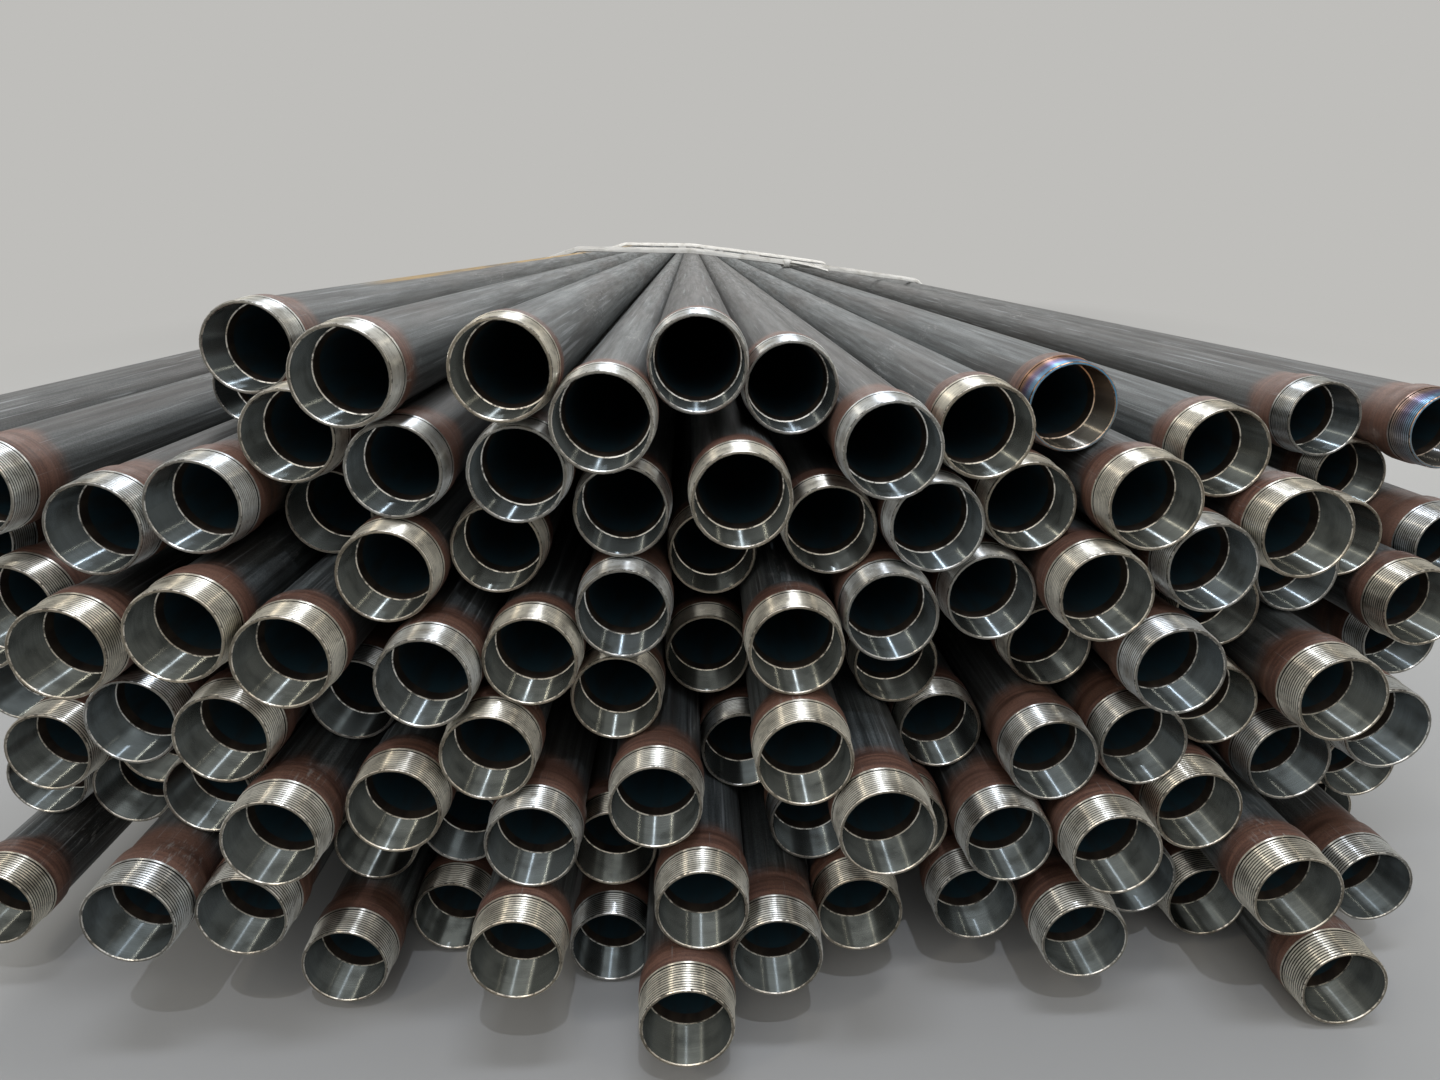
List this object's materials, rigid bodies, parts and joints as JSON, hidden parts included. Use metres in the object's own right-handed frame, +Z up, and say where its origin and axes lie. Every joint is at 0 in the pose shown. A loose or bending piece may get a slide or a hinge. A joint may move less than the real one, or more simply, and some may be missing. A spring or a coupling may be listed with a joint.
{
  "type": "bundle of steel pipes",
  "caption": "Strapped bundle of long threaded steel pipes with upset ends, stacked loosely with their ends out of line.",
  "frame": {"origin": "on the ground under the middle of the bundle's box", "axes": "+Y along the pipes, away from the staggered front ends; +Z up"},
  "size_m": [1.7586, 9.99, 0.7422],
  "materials": {
    "pipe_steel": "dark mill scale, rust-brown upsets, bright turned pins",
    "strap_webbing": "flat woven webbing, off-white"
  },
  "bodies": {
    "root": {"pipe_layer_1": "pipe_steel", "pipe_layer_2": "pipe_steel", "pipe_layer_3": "pipe_steel", "pipe_layer_4": "pipe_steel", "pipe_layer_5": "pipe_steel", "pipe_layer_6": "pipe_steel", "pipe_layer_7": "pipe_steel", "pipe_layer_8": "pipe_steel", "pipe_layer_9": "pipe_steel", "strap_front": "strap_webbing", "strap_back": "strap_webbing"}
  },
  "joints": []
}
